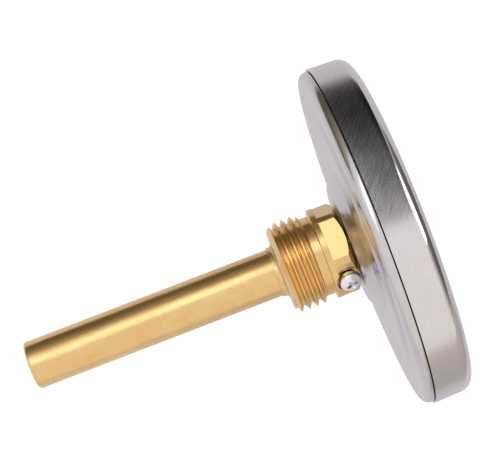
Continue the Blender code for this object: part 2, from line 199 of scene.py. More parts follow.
def rounded(outline, closed, steps):
    """The outline's points, with each corner that has a radius replaced by an arc."""
    points = []
    for index, (r, y, *radius) in enumerate(outline):
        corner = Vector((r, y))
        if not radius:
            points.append(corner)
            continue
        back = (Vector(outline[index - 1][:2]) - corner).normalized()
        ahead = (Vector(outline[(index + 1) % len(outline)][:2]) - corner).normalized()
        half = back.angle(ahead) / 2
        centre = corner + (back + ahead).normalized() * radius[0] / math.sin(half)
        tangent = radius[0] / math.tan(half)
        start, end = (corner + side * tangent - centre for side in (back, ahead))
        first = math.atan2(start.y, start.x)
        sweep = (math.atan2(end.y, end.x) - first + math.pi) % (2 * math.pi) - math.pi
        for step in range(steps + 1):
            angle = first + sweep * step / steps
            points.append(centre + radius[0] * Vector((math.cos(angle), math.sin(angle))))
    if closed:
        points.append(points[0])
    return points


def choose(piece):
    """Leaves this piece alone selected and active."""
    bpy.ops.object.select_all(action="DESELECT")
    piece.select_set(True)
    bpy.context.view_layer.objects.active = piece


def edit(piece):
    choose(piece)
    bpy.ops.object.mode_set(mode="EDIT")


def pick(piece, test, kind="VERT"):
    """Selects the points or faces of the piece being edited whose middle, in mm, passes the test."""
    bpy.ops.mesh.select_all(action="DESELECT")
    bpy.ops.mesh.select_mode(type=kind)
    mesh = bmesh.from_edit_mesh(piece.data)
    for item in mesh.verts if kind == "VERT" else mesh.faces:
        middle = item.co if kind == "VERT" else item.calc_center_median()
        if test(middle / MM, item.normal):
            item.select_set(True)
    mesh.select_flush_mode()
    bmesh.update_edit_mesh(piece.data)


def done(piece, name, sharp=FLAT_ANGLE):
    """Leaves edit mode with closed seams, outward faces and smooth rounds."""
    bpy.ops.mesh.select_mode(type="VERT")
    bpy.ops.mesh.select_all(action="SELECT")
    bpy.ops.mesh.remove_doubles(threshold=0.0005 * MM)
    bpy.ops.mesh.normals_make_consistent(inside=False)
    bpy.ops.mesh.select_all(action="DESELECT")
    bpy.ops.object.mode_set(mode="OBJECT")
    bpy.ops.object.shade_smooth_by_angle(angle=math.radians(sharp))
    piece.name = name
    piece.data.name = name
    return piece


def fan(y_step):
    """Closes the selected ring with a fan of faces to a point on the axis."""
    bpy.ops.mesh.extrude_region_move(TRANSFORM_OT_translate={"value": (0.0, y_step * MM, 0.0)})
    bpy.ops.mesh.merge(type="CENTER")


def turned(name, outline, steps=STEPS, closed=True, arc_steps=6):
    """Turns an outline about the stem's axis, ring by ring. An open outline may end on the axis."""
    points = rounded(outline, closed, arc_steps)
    start_cap = not closed and points[0].x == 0
    end_cap = not closed and points[-1].x == 0
    rings = points[start_cap : len(points) - end_cap]
    first = rings[0]
    bpy.ops.object.select_all(action="DESELECT")
    bpy.ops.mesh.primitive_circle_add(
        vertices=steps,
        radius=first.x * MM,
        fill_type="NOTHING",
        location=(0.0, first.y * MM, 0.0),
        rotation=(math.pi / 2, 0.0, 0.0),
    )
    piece = bpy.context.object
    bpy.ops.object.transform_apply()
    edit(piece)
    bpy.ops.mesh.select_all(action="SELECT")
    for ring, following in zip(rings, rings[1:]):
        step = (0.0, (following.y - ring.y) * MM, 0.0)
        growth = following.x / ring.x
        bpy.ops.mesh.extrude_region_move(TRANSFORM_OT_translate={"value": step})
        bpy.ops.transform.resize(value=(growth, 1.0, growth), center_override=(0.0, 0.0, 0.0))
    if end_cap:
        fan(points[-1].y - rings[-1].y)
    if start_cap:
        pick(piece, lambda co, normal: (Vector((math.hypot(co.x, co.z), co.y)) - first).length < NEAR)
        fan(points[0].y - first.y)
    return done(piece, name)


def block(centre, size):
    """A box in edit mode at its place, to shape or to cut with."""
    bpy.ops.object.select_all(action="DESELECT")
    bpy.ops.mesh.primitive_cube_add(size=MM, location=Vector(centre) * MM, scale=size)
    piece = bpy.context.object
    bpy.ops.object.transform_apply()
    edit(piece)
    return piece


def apply_modifier(piece, kind, **settings):
    choose(piece)
    modifier = piece.modifiers.new(kind.title(), kind)
    for key, value in settings.items():
        setattr(modifier, key, value)
    bpy.ops.object.modifier_apply(modifier=modifier.name)


def cut(piece, cutter):
    apply_modifier(piece, "BOOLEAN", operation="DIFFERENCE", solver="EXACT", object=cutter)
    bpy.data.objects.remove(cutter)


def smooth(piece):
    """Shades a piece again after a cut, with its flats kept flat."""
    choose(piece)
    bpy.ops.object.shade_smooth_by_angle(angle=math.radians(FLAT_ANGLE))
    apply_modifier(piece, "WEIGHTED_NORMAL", keep_sharp=True, weight=50)


def move(piece, matrix):
    """Moves a finished mesh, and leaves its object at the origin."""
    choose(piece)
    piece.matrix_world = matrix
    bpy.ops.object.transform_apply(location=True, rotation=True, scale=True)
    return piece


def wall(piece, thickness):
    """Gives an open turned sheet its wall, on the inner side."""
    apply_modifier(piece, "SOLIDIFY", thickness=thickness * MM, offset=-1.0, use_even_offset=True)
    smooth(piece)
    return piece


def fit(piece, node, finish):
    """Puts a finished piece in the place of a CAD piece."""
    piece.data.materials.clear()
    piece.data.materials.append(finish)
    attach(piece, frame["nodes"][node]["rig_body"])
    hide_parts(node)
    return piece


# Finishes


def new_finish(name, color, roughness, metallic=0.0, **sockets):
    material = bpy.data.materials.new(name)
    material.use_nodes = True
    shader = material.node_tree.nodes["Principled BSDF"]
    shader.inputs["Base Color"].default_value = (*color, 1.0)
    shader.inputs["Roughness"].default_value = roughness
    shader.inputs["Metallic"].default_value = metallic
    for key, value in sockets.items():
        shader.inputs[key.replace("_", " ")].default_value = value
    return material


def node(tree, kind, inputs=None, **settings):
    """A shader node, with its settings, and its inputs set or linked."""
    made = tree.nodes.new("ShaderNode" + kind)
    for key, value in settings.items():
        setattr(made, key, value)
    for key, value in (inputs or {}).items():
        if isinstance(value, bpy.types.NodeSocket):
            tree.links.new(value, made.inputs[key])
        else:
            made.inputs[key].default_value = value
    return made


def place_mm(tree, stretch=(1.0, 1.0, 1.0)):
    """Where a point is on the object, in millimetres, with each axis stretched."""
    where = node(tree, "TexCoord").outputs["Object"]
    scale = [factor / MM for factor in stretch]
    return node(tree, "Mapping", {"Vector": where, "Scale": scale}).outputs["Vector"]


def math_node(tree, operation, first, second=0.0):
    return node(tree, "Math", {0: first, 1: second}, operation=operation).outputs[0]


def round_stem(tree):
    """Radius, y and angle of a point about the stem's axis."""
    split = node(tree, "SeparateXYZ", {0: place_mm(tree)}).outputs
    across = math_node(tree, "MULTIPLY", split["X"], split["X"])
    up = math_node(tree, "MULTIPLY", split["Z"], split["Z"])
    radius = math_node(tree, "SQRT", math_node(tree, "ADD", across, up))
    angle = math_node(tree, "ARCTAN2", split["X"], split["Z"])
    return radius, split["Y"], angle


def noise(tree, vector, scale, detail=3.0, roughness=0.55):
    inputs = {"Vector": vector, "Scale": scale, "Detail": detail, "Roughness": roughness}
    return node(tree, "TexNoise", inputs).outputs["Fac"]


def between(tree, value, low, high, to_low, to_high):
    inputs = {"Value": value, "From Min": low, "From Max": high, "To Min": to_low, "To Max": to_high}
    return node(tree, "MapRange", inputs, clamp=True).outputs["Result"]


def blend_colors(tree, factor, first, second):
    """Mixes two colours, each a triple or a socket."""
    mix = node(tree, "Mix", {"Factor": factor}, data_type="RGBA")
    for socket, value in (("A", first), ("B", second)):
        target = next(s for s in mix.inputs if s.name == socket and s.type == "RGBA")
        if isinstance(value, bpy.types.NodeSocket):
            tree.links.new(value, target)
        else:
            target.default_value = (*value, 1.0)
    return next(s for s in mix.outputs if s.type == "RGBA")


def two_tone(tree, pattern, low, high, first, second):
    """Runs from the first colour to the second as the pattern goes from low to high."""
    return blend_colors(tree, between(tree, pattern, low, high, 0.0, 1.0), first, second)


def shader_of(material):
    return material.node_tree.nodes["Principled BSDF"]


def drive(material, socket, value):
    material.node_tree.links.new(value, shader_of(material).inputs[socket])


def relief(material, heights):
    """Stacks bumps on a material, each a (height socket, depth in millimetres) pair."""
    tree = material.node_tree
    normal = None
    for height, depth in heights:
        bump = node(tree, "Bump", {"Height": height, "Distance": depth * MM, "Strength": 1.0})
        if normal:
            tree.links.new(normal, bump.inputs["Normal"])
        normal = bump.outputs["Normal"]
    drive(material, "Normal", normal)


def lathe_lines(tree, pitch, waver=0.15):
    """Rings left by a turning tool: a noise that changes along the outline and barely round it."""
    radius, y, angle = round_stem(tree)
    turns = math_node(tree, "MULTIPLY", angle, waver)
    vector = node(tree, "CombineXYZ", {"X": radius, "Y": y, "Z": turns}).outputs[0]
    return noise(tree, vector, 1.0 / pitch, 2.0, 0.6)


def turned_brass():
    """Free-cutting brass: tool rings, a little warmer and duller down in the thread's roots."""
    material = new_finish("turned_brass", (0.80, 0.54, 0.24), 0.22, 1.0)
    tree = material.node_tree
    rings = lathe_lines(tree, 0.22)
    cloud = noise(tree, place_mm(tree), 0.35, 4.0)
    speck = noise(tree, place_mm(tree), 3.5, 2.0)
    radius, y, _ = round_stem(tree)
    depth = between(tree, radius, NECK_R + 0.1, 10.4, 1.0, 0.0)
    on_thread = between(tree, y, THREAD_START_Y - 0.2, THREAD_START_Y + 0.2, 0.0, 0.9)
    warm = math_node(tree, "MULTIPLY", depth, on_thread)
    color = two_tone(tree, cloud, 0.35, 0.65, (0.78, 0.53, 0.23), (0.82, 0.57, 0.26))
    color = blend_colors(tree, warm, color, (0.86, 0.66, 0.38))
    color = blend_colors(tree, between(tree, speck, 0.62, 0.75, 0.0, 0.25), color, (0.58, 0.36, 0.14))
    drive(material, "Base Color", color)
    drive(material, "Roughness", between(tree, rings, 0.3, 0.7, 0.16, 0.32))
    relief(material, [(rings, 0.006), (cloud, 0.02)])
    return material


def milled_brass():
    """The hexagon's flats: satin, with fine cutter marks across them."""
    material = new_finish("milled_brass", (0.82, 0.60, 0.28), 0.3, 1.0)
    tree = material.node_tree
    marks = noise(tree, place_mm(tree, (1.0, 7.0, 1.0)), 0.9, 3.0)
    grain = noise(tree, place_mm(tree), 2.6, 4.0, 0.7)
    color = two_tone(tree, grain, 0.3, 0.7, (0.75, 0.51, 0.21), (0.83, 0.60, 0.27))
    drive(material, "Base Color", color)
    drive(material, "Roughness", between(tree, grain, 0.3, 0.7, 0.18, 0.32))
    relief(material, [(marks, 0.004), (grain, 0.005)])
    return material


def drawn_brass():
    """Drawn tube: fine scratches along it, faint stains and a few dark specks."""
    material = new_finish("drawn_brass", (0.80, 0.58, 0.27), 0.24, 1.0)
    tree = material.node_tree
    scratches = noise(tree, place_mm(tree, (4.0, 0.09, 4.0)), 1.0, 4.0, 0.65)
    stain = noise(tree, place_mm(tree, (1.0, 0.45, 1.0)), 0.28, 5.0, 0.6)
    speck = noise(tree, place_mm(tree), 1.7, 2.0)
    color = two_tone(tree, stain, 0.35, 0.65, (0.76, 0.50, 0.21), (0.82, 0.58, 0.27))
    color = blend_colors(tree, between(tree, speck, 0.66, 0.76, 0.0, 0.55), color, (0.42, 0.26, 0.10))
    drive(material, "Base Color", color)
    drive(material, "Roughness", between(tree, scratches, 0.3, 0.7, 0.16, 0.34))
    relief(material, [(scratches, 0.006), (stain, 0.02)])
    return material


def braze_metal():
    """Brazing brass as it flowed: a little paler than the tube, uneven and slightly oxidised."""
    material = new_finish("braze_metal", (0.80, 0.60, 0.30), 0.3, 1.0)
    tree = material.node_tree
    lumps = noise(tree, place_mm(tree), 0.9, 3.0)
    oxide = noise(tree, place_mm(tree), 2.4, 4.0)
    color = two_tone(tree, oxide, 0.4, 0.65, (0.83, 0.63, 0.33), (0.66, 0.46, 0.22))
    drive(material, "Base Color", color)
    drive(material, "Roughness", between(tree, oxide, 0.3, 0.7, 0.22, 0.48))
    relief(material, [(lumps, 0.04)])
    return material


def zinc_plate():
    """Bright zinc on pressed steel: cloudy, with a trace of blue and straw, and faint draw lines."""
    material = new_finish("zinc_plate", (0.62, 0.61, 0.64), 0.26, 1.0)
    tree = material.node_tree
    rings = lathe_lines(tree, 1.3, 0.3)
    cloud = noise(tree, place_mm(tree), 0.16, 5.0, 0.6)
    grain = noise(tree, place_mm(tree), 2.2, 3.0, 0.7)
    color = two_tone(tree, cloud, 0.3, 0.7, (0.57, 0.565, 0.60), (0.67, 0.655, 0.645))
    color = blend_colors(tree, between(tree, grain, 0.35, 0.75, 0.0, 0.3), color, (0.50, 0.49, 0.51))
    drive(material, "Base Color", color)
    drive(material, "Roughness", between(tree, cloud, 0.3, 0.7, 0.13, 0.26))
    relief(material, [(rings, 0.035), (grain, 0.004)])
    return material


def bright_zinc():
    """Bright zinc on the screws, with a little white bloom."""
    material = new_finish("bright_zinc", (0.82, 0.83, 0.86), 0.2, 1.0)
    tree = material.node_tree
    bloom = noise(tree, place_mm(tree), 1.1, 4.0, 0.65)
    pits = noise(tree, place_mm(tree), 5.0, 2.0)
    color = two_tone(tree, bloom, 0.35, 0.65, (0.74, 0.76, 0.80), (0.90, 0.90, 0.91))
    drive(material, "Base Color", color)
    drive(material, "Roughness", between(tree, bloom, 0.3, 0.7, 0.16, 0.3))
    relief(material, [(pits, 0.006)])
    return material


def brushed_stainless():
    """Stainless steel brushed in fine streaks that climb round the bezel at a slant."""
    material = new_finish("brushed_stainless", (0.72, 0.70, 0.71), 0.24, 1.0)
    tree = material.node_tree
    _, y, angle = round_stem(tree)
    bezel_r = extent("bezel_ring")[0]
    slant = math_node(tree, "MULTIPLY", y, 1.0 / (bezel_r * math.tan(BRUSH_LEAN)))
    streak = math_node(tree, "ADD", angle, slant)
    east = math_node(tree, "MULTIPLY", math_node(tree, "SINE", streak), bezel_r)
    north = math_node(tree, "MULTIPLY", math_node(tree, "COSINE", streak), bezel_r)
    along = math_node(tree, "MULTIPLY", y, 0.12)
    vector = node(tree, "CombineXYZ", {"X": east, "Y": along, "Z": north}).outputs[0]
    coarse = noise(tree, vector, 3.0, 2.0, 0.6)
    fine = noise(tree, vector, 9.0, 3.0, 0.7)
    cloud = noise(tree, place_mm(tree), 0.12, 3.0)
    streaks = two_tone(tree, fine, 0.3, 0.7, (0.60, 0.585, 0.595), (0.78, 0.76, 0.77))
    color = blend_colors(tree, between(tree, coarse, 0.35, 0.7, 0.0, 0.5), streaks, (0.68, 0.66, 0.67))
    color = blend_colors(tree, between(tree, cloud, 0.35, 0.65, 0.0, 0.3), color, (0.76, 0.74, 0.76))
    brushed = between(tree, y, BRUSHED_FROM_Y - 0.5, BRUSHED_FROM_Y + 0.5, 0.0, 1.0)
    grooves = math_node(tree, "MULTIPLY", fine, brushed)
    rough = between(tree, coarse, 0.3, 0.7, 0.2, 0.3)
    drive(material, "Base Color", color)
    drive(material, "Roughness", between(tree, brushed, 0.0, 1.0, 0.1, rough))
    relief(material, [(grooves, 0.004), (coarse, 0.002)])
    return material


def drawn_aluminium():
    material = new_finish("drawn_aluminium", (0.75, 0.75, 0.76), 0.34, 1.0)
    tree = material.node_tree
    scratches = noise(tree, place_mm(tree, (5.0, 0.07, 5.0)), 1.0, 4.0, 0.65)
    rubbed = noise(tree, place_mm(tree, (1.0, 0.3, 1.0)), 0.5, 3.0)
    color = two_tone(tree, scratches, 0.3, 0.7, (0.66, 0.66, 0.68), (0.80, 0.80, 0.81))
    drive(material, "Base Color", color)
    drive(material, "Roughness", between(tree, rubbed, 0.3, 0.7, 0.24, 0.44))
    relief(material, [(scratches, 0.008)])
    return material


def tempered_strip():
    """Bimetal strip, straw to blue from its ageing heat."""
    material = new_finish("tempered_strip", (0.50, 0.44, 0.36), 0.38, 1.0)
    tree = material.node_tree
    heat = noise(tree, place_mm(tree, (1.0, 0.5, 1.0)), 0.3, 3.0)
    rolled = noise(tree, place_mm(tree, (1.0, 6.0, 1.0)), 1.5, 3.0)
    color = two_tone(tree, heat, 0.35, 0.65, (0.56, 0.45, 0.30), (0.36, 0.34, 0.42))
    drive(material, "Base Color", color)
    drive(material, "Roughness", between(tree, rolled, 0.3, 0.7, 0.28, 0.46))
    relief(material, [(rolled, 0.006)])
    return material


def satin_paint(name, color, other, roughness):
    """Sprayed paint: a fine orange peel and a barely uneven colour."""
    material = new_finish(name, color, roughness)
    tree = material.node_tree
    peel = noise(tree, place_mm(tree), 1.8, 3.0)
    cloud = noise(tree, place_mm(tree), 0.08, 4.0)
    drive(material, "Base Color", two_tone(tree, cloud, 0.35, 0.65, color, other))
    drive(material, "Roughness", between(tree, peel, 0.3, 0.7, roughness - 0.06, roughness + 0.08))
    relief(material, [(peel, 0.012)])
    return material


def matt_material(name, color, other, scale, depth):
    """Rubber or pressed fibre: a rough, mottled surface."""
    material = new_finish(name, color, 0.85)
    tree = material.node_tree
    grain = noise(tree, place_mm(tree), scale, 5.0, 0.7)
    drive(material, "Base Color", two_tone(tree, grain, 0.3, 0.7, color, other))
    drive(material, "Roughness", between(tree, grain, 0.3, 0.7, 0.7, 0.95))
    relief(material, [(grain, depth)])
    return material


def window_glass():
    """Float glass with a trace of handling on it, which lets the lamps reach the dial."""
    material = new_finish("window_glass", (0.985, 0.99, 0.99), 0.0, Transmission_Weight=1.0, IOR=1.5)
    tree = material.node_tree
    smear = noise(tree, place_mm(tree, (1.0, 1.0, 0.4)), 0.15, 4.0)
    drive(material, "Roughness", between(tree, smear, 0.5, 0.8, 0.0, 0.06))
    clear = node(tree, "BsdfTransparent", {"Color": (0.985, 0.99, 0.99, 1.0)}).outputs[0]
    lamp_ray = node(tree, "LightPath").outputs["Is Shadow Ray"]
    mix = node(tree, "MixShader", {0: lamp_ray, 1: shader_of(material).outputs[0], 2: clear})
    tree.links.new(mix.outputs[0], tree.nodes["Material Output"].inputs["Surface"])
    return material


TURNED_BRASS = turned_brass()
MILLED_BRASS = milled_brass()
DRAWN_BRASS = drawn_brass()
BRAZE = braze_metal()
ZINC = zinc_plate()
BRIGHT_ZINC = bright_zinc()
STAINLESS = brushed_stainless()
ALUMINIUM = drawn_aluminium()
BIMETAL = tempered_strip()
DIAL_WHITE = satin_paint("dial_white", (0.84, 0.84, 0.82), (0.80, 0.80, 0.77), 0.42)
INK_BLACK = satin_paint("ink_black", (0.018, 0.018, 0.02), (0.03, 0.03, 0.032), 0.45)
POINTER_BLACK = satin_paint("pointer_black", (0.015, 0.015, 0.016), (0.025, 0.025, 0.026), 0.36)
RUBBER = matt_material("gasket_rubber", (0.025, 0.025, 0.026), (0.05, 0.05, 0.05), 1.2, 0.02)
FIBRE = matt_material("washer_fibre", (0.42, 0.11, 0.07), (0.30, 0.08, 0.05), 1.6, 0.03)
GLASS = window_glass()


# Pocket


def thread_groove(crest_r, end_y):
    """The groove of the pocket's thread: a V with a round root, drawn along a right-hand helix."""
    flank = math.tan(THREAD_HALF_ANGLE)
    sharp_depth = THREAD_PITCH / 2 / flank
    apex_r = crest_r - sharp_depth * 5 / 6  # a sixth of the sharp V is lost at the crest
    mouth_r = crest_r + 0.1
    radius = (mouth_r - apex_r) / 1.5  # a triangle is one and a half radii high
    middle = apex_r + radius
    start_y = THREAD_START_Y - THREAD_PITCH * 0.6
    root_round = ROOT_ROUND * THREAD_PITCH / flank
    bpy.ops.object.select_all(action="DESELECT")
    bpy.ops.mesh.primitive_circle_add(
        vertices=3,
        radius=radius * MM,
        fill_type="NGON",
        location=(middle * MM, start_y * MM, 0.0),
        rotation=(0.0, 0.0, math.pi / 2),
    )
    groove = bpy.context.object
    bpy.ops.object.transform_apply()
    edit(groove)
    bpy.ops.mesh.select_all(action="SELECT")
    narrow = 1.5 * flank / math.sin(math.pi / 3)
    bpy.ops.transform.resize(value=(1.0, narrow, 1.0), center_override=(middle * MM, start_y * MM, 0.0))
    pick(groove, lambda co, normal: co.x < apex_r + 0.01)
    bpy.ops.mesh.bevel(offset=root_round * MM, affect="VERTICES", segments=4)
    bpy.ops.mesh.select_all(action="SELECT")
    turns = (end_y - start_y) / THREAD_PITCH + 0.6
    climb = (0.0, THREAD_PITCH / STEPS * MM, 0.0)
    turn = -2 * math.pi / STEPS
    for _ in range(int(turns * STEPS)):
        bpy.ops.mesh.extrude_region_move(TRANSFORM_OT_translate={"value": climb})
        bpy.ops.transform.rotate(value=turn, orient_axis="Y", center_override=(0.0, 0.0, 0.0))
    done(groove, "thread_groove")
    return move(groove, Matrix.Rotation(math.pi / STEPS, 4, "Y"))


def rod(radius, low, high):
    """Outline of a plain round bar."""
    return [(0.0, low), (radius, low), (radius, high), (0.0, high)]


def screw_matrix():
    """Takes local Y to the clamp screw's axis, out of a flat of the hexagon."""
    turn = Matrix.Rotation(-SCREW_ANGLE, 4, "Y") @ Matrix.Rotation(math.pi / 2, 4, "X")
    return Matrix.Translation((0.0, SCREW_Y * MM, 0.0)) @ turn


def hexagon_waste(bar_r, hex_end):
    """What milling takes off the round bar to leave a hexagon, one flat of it square to the screw."""
    corner_r = ACROSS_FLATS / 2 / math.cos(math.pi / 6)
    outline = [
        (corner_r, -COLLAR_LENGTH),
        (bar_r + 8, -COLLAR_LENGTH),
        (bar_r + 8, hex_end - 2),
        (corner_r, hex_end - 2),
    ]
    waste = turned("hexagon_waste", outline, 6)
    return move(waste, Matrix.Rotation(-SCREW_ANGLE + math.pi / 6, 4, "Y"))


def make_pocket_body():
    """Turned from bar: thread, relief neck and collar, then the milled hexagon with the screw's recess."""
    bar_r, hex_end, thread_end = extent("pocket_body")
    crest_r = bar_r - CREST_INSET
    outline = [
        (SOCKET_R, thread_end),
        (THREAD_LEAD_R, thread_end, 0.12),
        (crest_r, thread_end - THREAD_LEAD, 0.2),
        (crest_r, THREAD_START_Y + 0.35, 0.15),
        (NECK_R, THREAD_START_Y - 0.35, 0.15),
        (NECK_R, 0.0, 0.2),
        (bar_r, 0.0, 0.12),
        (bar_r, hex_end + 1.0, 0.1),
        (HEX_CHAMFER_R, hex_end, 0.1),
        (BORE_R + 0.5, hex_end, 0.05),
        (BORE_R, hex_end + 0.5, 0.1),
        (BORE_R, SOCKET_FLOOR_Y),
        (SOCKET_R, SOCKET_FLOOR_Y),
    ]
    body = turned("threaded_body", outline, arc_steps=4)
    cut(body, thread_groove(crest_r, thread_end))
    cut(body, hexagon_waste(bar_r, hex_end))
    recess = [
        (0.0, RECESS_FLOOR),
        (RECESS_R - 0.75, RECESS_FLOOR, 0.9),
        (RECESS_R + 0.25, ACROSS_FLATS / 2 + 0.1),
        (RECESS_R + 0.25, RECESS_REACH),
        (0.0, RECESS_REACH),
    ]
    hole = rod(SCREW_HOLE_R, 3.0, 9.5)
    for name, shape in (("recess", recess), ("screw_hole", hole)):
        cut(body, move(turned(name, shape, SMALL_STEPS, closed=False), screw_matrix()))
    smooth(body)
    fit(body, "pocket_body", TURNED_BRASS)
    body.data.materials.append(MILLED_BRASS)
    reach = ACROSS_FLATS / 2
    for face in body.data.polygons:
        middle = face.center / MM
        across = Vector((face.normal.x, 0.0, face.normal.z))
        flat = across.length > 0.999 and abs(middle.dot(across) - reach) < 0.01
        if flat and middle.y < -COLLAR_LENGTH:
            face.material_index = 1


def make_pocket_tube():
    radius, low, high = extent("pocket_tube")
    outline = [
        (0.0, high),
        (radius * 0.55, high - 0.05),
        (radius, high - 0.35, 0.75),
        (radius, low, 0.1),
        (BORE_R, low),
        (BORE_R, high - TUBE_FLOOR, 0.8),
        (0.0, high - TUBE_FLOOR),
    ]
    fit(turned("closed_tube", outline, closed=False), "pocket_tube", DRAWN_BRASS)


def make_braze_ring():
    radius, _, high = extent("braze_ring")
    low = extent("pocket_body")[2] - 0.05
    inner = SOCKET_R - 0.15
    outline = [
        (inner, high),
        (inner + 0.12, high),
        (inner + 0.2, low + 0.3, 0.7),
        (radius, low + 0.15),
        (radius, low),
        (inner, low),
    ]
    bead = turned("braze_bead", outline, arc_steps=5)
    edit(bead)
    bpy.ops.mesh.select_all(action="SELECT")
    bpy.ops.transform.vertex_random(offset=0.015 * MM, uniform=0.2, normal=1.0, seed=4)
    fit(done(bead, "braze_bead", 60), "braze_ring", BRAZE)


def make_clamp_screw():
    """Pan head with a cross recess, and a shank that ends near the stem."""
    outline = [
        (0.0, SCREW_TOP),
        (1.3, SCREW_TOP, 0.9),
        (SCREW_HEAD_R - 0.05, SCREW_TOP - 0.75, 0.75),
        (SCREW_HEAD_R, SCREW_UNDER_HEAD, 0.15),
        (SCREW_SHANK_R, SCREW_UNDER_HEAD, 0.1),
        (SCREW_SHANK_R, SCREW_TIP + 0.3, 0.1),
        (SCREW_SHANK_R - 0.25, SCREW_TIP),
        (0.0, SCREW_TIP),
    ]
    screw = turned("cross_head_screw", outline, BUSH_STEPS, closed=False)
    for quarter in range(2):
        wing = block((0.0, SCREW_TOP, 0.0), (3.7, 2.2, 0.85))
        pick(wing, lambda co, normal: co.y < SCREW_TOP)
        bpy.ops.transform.resize(value=(0.4, 1.0, 0.65), center_override=(0.0, SCREW_TOP * MM, 0.0))
        done(wing, "cross_wing")
        cut(screw, move(wing, Matrix.Rotation(quarter * math.pi / 2 + CROSS_TURN, 4, "Y")))
    smooth(screw)
    fit(move(screw, screw_matrix()), "clamp_screw", BRIGHT_ZINC)


# Head


def make_case_back():
    """One pressing: raised centre, ringed back, round corner, joggle for the bezel, rolled-in rim."""
    radius, low, high = extent("case_back")
    outer_back = high - 2.65
    joggle = high - 4.8
    outline = [
        (CASE_HOLE_R, high),
        (BOSS_R, high, 0.7),
        (BOSS_FOOT_R, high - BOSS_HEIGHT, 0.7),
        (RING_R[0], high - BOSS_HEIGHT - 0.1, 0.25),
        (RING_R[1], outer_back, 0.25),
        (radius, outer_back, 1.95),
        (radius, joggle, 0.15),
        (CASE_SKIRT_R, joggle - 0.35, 0.15),
        (CASE_SKIRT_R, low, 0.5),
        (CASE_RIM_R, low),
    ]
    case = turned("pressed_case", outline, FINE_STEPS, closed=False, arc_steps=8)
    fit(wall(case, CASE_SHEET), "case_back", ZINC)


def make_bezel():
    radius, low, high = extent("bezel_ring")
    front_r = radius - (high - low) * math.tan(BEZEL_TAPER)
    outline = [(radius, high), (front_r, low, BEZEL_CORNER), (BEZEL_LIP_R, low)]
    bezel = turned("brushed_bezel", outline, FINE_STEPS, closed=False, arc_steps=12)
    fit(wall(bezel, BEZEL_SHEET), "bezel_ring", STAINLESS)


def make_window():
    radius, low, high = extent("window")
    outline = [(0.0, high), (radius, high, 0.25), (radius, low, 0.25), (0.0, low)]
    fit(turned("glass_window", outline, FINE_STEPS, closed=False, arc_steps=3), "window", GLASS)


def make_gasket():
    radius, low, high = extent("window_gasket")
    corners = ((GASKET_INNER_R, high), (radius, high), (radius, low), (GASKET_INNER_R, low))
    outline = [(*corner, 0.2) for corner in corners]
    fit(turned("rubber_gasket", outline, arc_steps=3), "window_gasket", RUBBER)


def make_dial_ring():
    radius, low, high = extent("dial_ring")
    inner = BEZEL_LIP_R
    outline = [(inner, high, 0.1), (radius, high, 0.1), (radius, low, 0.15), (inner, low, 0.3)]
    fit(turned("reflector_ring", outline, FINE_STEPS, arc_steps=4), "dial_ring", DIAL_WHITE)


# Dial


def make_dial():
    radius, low, high = extent("dial_plate")
    outline = [
        (DIAL_HOLE_R, high),
        (radius, high, 0.1),
        (radius, low, 0.15),
        (DIAL_HOLE_R, low, 0.1),
    ]
    dial = turned("printed_dial", outline, arc_steps=3)
    for side in ("left", "right"):
        low_corner, high_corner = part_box("dial_screw_" + side)
        middle = (low_corner + high_corner) / 2
        drill = rod(DIAL_SCREW_HOLE_R, low - 3.0, high + 3.0)
        hole = turned("dial_hole", drill, SMALL_STEPS, closed=False)
        cut(dial, move(hole, Matrix.Translation((middle.x, 0.0, middle.z))))
    smooth(dial)
    fit(dial, "dial_plate", DIAL_WHITE)
    return low


def scale_angle(reading):
    """Clockwise angle of a reading from twelve o'clock, as seen from the front."""
    return SCALE_START + SCALE_SWEEP * reading / SCALE_TOP


def print_on_dial(piece, name, dial_y):
    """Lays a flat mark, drawn in the XZ plane about y = 0, on the dial."""
    move(piece, Matrix.Translation((0.0, (dial_y - INK / 2) * MM, 0.0)))
    piece.name = name
    piece.data.name = name
    piece.data.materials.clear()
    piece.data.materials.append(INK_BLACK)
    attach(piece, "head")


def print_bar(name, dial_y, inner_r, outer_r, width, repeats, sweep):
    """A bar from inner to outer radius at the scale's start, repeated over the sweep."""
    bar = block((0.0, 0.0, (inner_r + outer_r) / 2), (width, INK, outer_r - inner_r))
    bpy.ops.mesh.select_all(action="SELECT")
    bpy.ops.mesh.bevel(offset=INK / 4 * MM, segments=1)
    bpy.ops.mesh.select_all(action="SELECT")
    bpy.ops.transform.rotate(value=-SCALE_START, orient_axis="Y", center_override=(0.0, 0.0, 0.0))
    bpy.ops.mesh.select_all(action="SELECT")
    bpy.ops.mesh.spin(
        steps=repeats, angle=sweep, dupli=True, center=(0.0, 0.0, 0.0), axis=(0.0, 1.0, 0.0)
    )
    done(bar, name)
    print_on_dial(bar, name, dial_y)


def print_text(name, words, height, across, up, dial_y):
    bpy.ops.object.select_all(action="DESELECT")
    bpy.ops.object.text_add(location=(across * MM, 0.0, up * MM), rotation=(math.pi / 2, 0.0, 0.0))
    letters = bpy.context.object
    letters.data.body = words
    letters.data.size = height * MM
    letters.data.align_x = "CENTER"
    letters.data.align_y = "CENTER"
    letters.data.extrude = INK / 2 * MM
    letters.data.offset = LETTER_OFFSET * MM
    bpy.ops.object.convert(target="MESH")
    edit(letters)
    done(letters, name)
    bpy.ops.object.transform_apply()
    print_on_dial(letters, name, dial_y)


